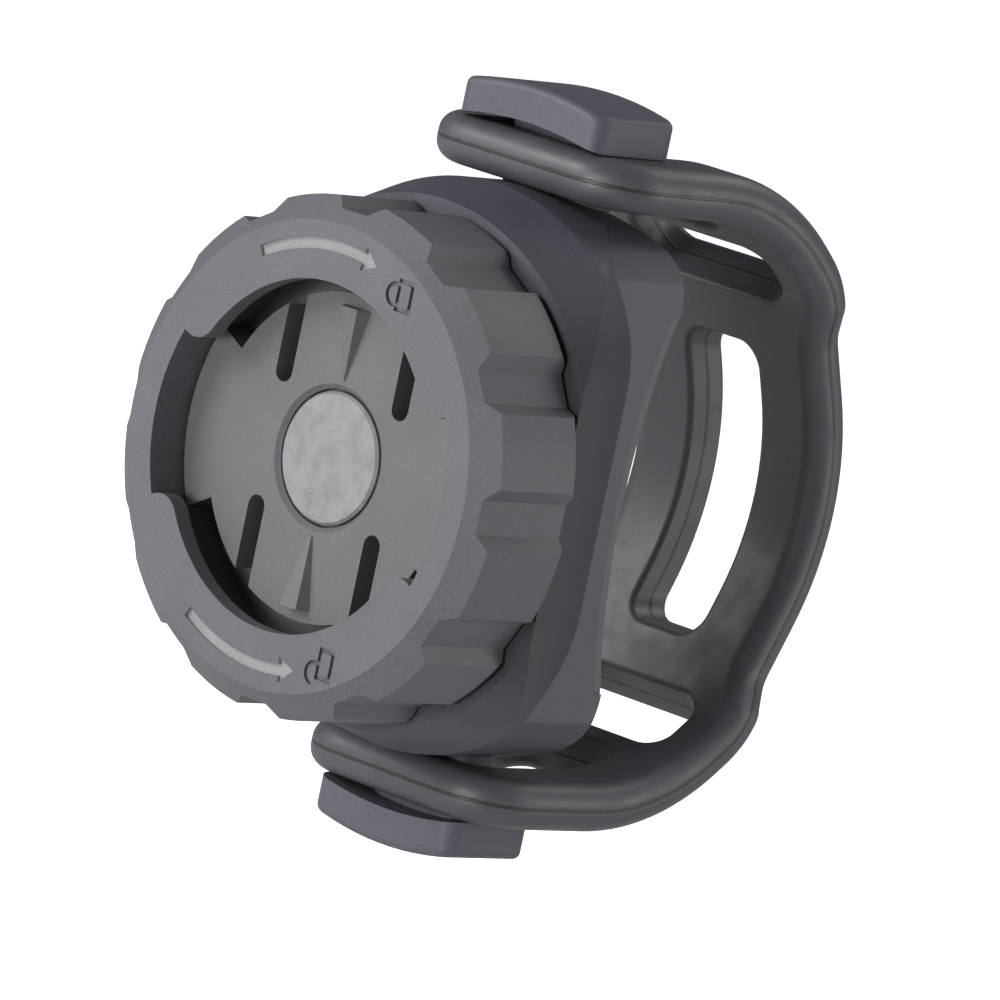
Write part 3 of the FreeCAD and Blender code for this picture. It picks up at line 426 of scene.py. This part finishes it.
def closed_lock_outline(centre):
    """The outer edge, and the two islands that are left standing inside it."""
    outer, island = lock_case(centre)
    left = outer[0][0]
    arch = (left - shackle_reach, centre[1])
    outer.append((left, arch[1] + shackle_radius))
    outer += arc(arch, shackle_radius, 90, 270)
    outer.append((left, arch[1] - shackle_radius))
    hole = [(left, arch[1] + shackle_inner)]
    hole += arc(arch, shackle_inner, 90, 270)
    hole.append((left, arch[1] - shackle_inner))
    return [outer, hole, island]


def open_lock_outline(centre):
    """The same with its shackle slid down and free at one end."""
    outer, island = lock_case(centre)
    left = outer[0][0]
    arch = (left - shackle_reach, centre[1] - open_slip)
    outer.append((left, arch[1] + shackle_radius))
    outer += arc(arch, shackle_radius, 90, 270)
    outer += arc(arch, shackle_inner, 270, 90)
    outer.append((left, arch[1] + shackle_inner))
    return [outer, island]


def weld(mesh, gap, outward=False):
    """Joins points closer than gap, in millimetres, and may turn all faces outward."""
    shape = bmesh.new()
    shape.from_mesh(mesh)
    bmesh.ops.remove_doubles(shape, verts=shape.verts, dist=gap * MM)
    if outward:
        bmesh.ops.recalc_face_normals(shape, faces=shape.faces)
    shape.to_mesh(mesh)
    shape.free()


def sign_cutter(name, outlines, finish):
    """A block of that outline, from just before the ring's face to the depth of the signs."""
    flat = bpy.data.curves.new(name, "CURVE")
    flat.dimensions = "2D"
    flat.fill_mode = "BOTH"
    proud = 0.1
    flat.extrude = (sign_depth + proud) / 2 * MM
    for points in outlines:
        spline = flat.splines.new("POLY")
        spline.points.add(len(points) - 1)
        for point, (across, up) in zip(spline.points, points):
            point.co = (across * MM, up * MM, 0.0, 1.0)
        spline.use_cyclic_u = True
    maker = bpy.data.objects.new(name, flat)
    mesh = bpy.data.meshes.new_from_object(maker)
    bpy.data.objects.remove(maker)
    to_face = Matrix.Rotation(math.radians(90), 4, "X")
    mesh.transform(Matrix.Translation((0, (sign_depth - proud) / 2 * MM, 0)) @ to_face)
    mesh.materials.clear()
    mesh.materials.append(finish)
    weld(mesh, 0.002, outward=True)
    return mesh


ring_plastic = grained_plastic("ring_nylon", (0.098, 0.098, 0.109))
sign_floor = plain_rubber("sign_floor", (0.24, 0.24, 0.24), rough=0.4)
ring = bpy.data.objects.new("twist_ring_with_signs", frame["nodes"]["twist_ring"].data.copy())
bpy.context.scene.collection.objects.link(ring)
ring.data.materials.clear()
ring.data.materials.append(ring_plastic)
ring.data.materials.append(sign_floor)
weld(ring.data, 0.001)
ring.data.attributes.remove(ring.data.attributes["custom_normal"])
cutters = bpy.data.collections.new("cutters")
bpy.context.scene.collection.children.link(cutters)
for name, outlines, finish in (
        ("upper_arrow", arrow_outline(1), sign_floor),
        ("lower_arrow", arrow_outline(-1), sign_floor),
        ("closed_lock", closed_lock_outline(closed_lock), ring_plastic),
        ("open_lock", open_lock_outline(open_lock), ring_plastic)):
    cutters.objects.link(bpy.data.objects.new(name, sign_cutter(name, outlines, finish)))
carve = ring.modifiers.new("signs", "BOOLEAN")
carve.operation = "DIFFERENCE"
carve.operand_type = "COLLECTION"
carve.collection = cutters
carve.solver = "EXACT"
carve.material_mode = "TRANSFER"
bpy.context.view_layer.update()
carved = bpy.data.meshes.new_from_object(ring.evaluated_get(bpy.context.evaluated_depsgraph_get()))
ring.modifiers.clear()
ring.data = carved
for cutter in list(cutters.objects):
    bpy.data.objects.remove(cutter)
bpy.data.collections.remove(cutters)
ring.data.set_sharp_from_angle(angle=math.radians(sharp_above))
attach(ring, "lock_ring")
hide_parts("twist_ring")


# Receiver plate: a nylon disc with two spring tongues, held on the housing by the screw. It is a slightly
# paler and cleaner moulding than the ring.

dress("receiver_plate", grained_plastic("plate_nylon", (0.108, 0.108, 0.114), grain=0.15, depth=0.008))


# Centre cap: a dull metal disc with a scuffed, mottled face, pressed over the screw in the middle of the
# plate.

def scuffed_metal(name, colour):
    finish = Finish(bpy.data.materials.new(name))
    blotch = finish.noise(1.6 * MM, detail=6.0, roughness=0.7)
    fine = finish.noise(0.12 * MM, detail=2.0)
    shade = finish.spread(blotch, 0.8, 1.2) * finish.spread(fine, 0.92, 1.08)
    tint = finish.tint(colour, shade)
    return finish.surface(
        Base_Color=tint,
        Metallic=0.35,
        Roughness=finish.spread(blotch, 0.45, 0.65),
        Normal=finish.bump(fine, 0.004 * MM),
    )


dress("centre_cap", scuffed_metal("cap_metal", (0.240, 0.240, 0.235)))


# Strap: one compression-moulded rubber piece with rounded edges. The two halves of its mould meet
# half-way through its thickness and leave a thin rough line round the strap and round its slots.

strap_level = 23.5
# Its bends from the hook to the back: centre behind and up, radius, and slope before and after in degrees.
strap_bends = (
    (28.3, 5.0, 18.5, 0, 40),
    (36.93, 13.42, 6.5, 40, 67),
    (26.55, 0.0, 21.3, 67, 90),
)
line_half = 0.09
line_soft = 0.06
line_wander = 0.04


def parting_line(finish):
    """1 near the middle of the strap's thickness. The straight runs are tangent to the bends."""
    behind = finish.axis(1)
    up = finish.maths("ABSOLUTE", finish.axis(2))
    off = up - strap_level
    for centre_behind, centre_up, radius, before, after in strap_bends:
        back = behind - centre_behind
        rise = up - centre_up
        bend = finish.maths("SQRT", back * back + rise * rise) - radius
        for turn, run in ((before, bend), (after, None)):
            sine, cosine = math.sin(math.radians(turn)), math.cos(math.radians(turn))
            if run is None:
                run = back * sine + rise * cosine - radius
            off = off + (run - off) * (back * cosine - rise * sine > 0.0)
    off = off + finish.spread(finish.noise(0.6 * MM), -line_wander, line_wander)
    return finish.range(finish.maths("ABSOLUTE", off), line_half, line_half + line_soft, 1.0, 0.0)


dress("strap", plain_rubber("strap_rubber", (0.066, 0.065, 0.075), rough=0.48, line=parting_line))
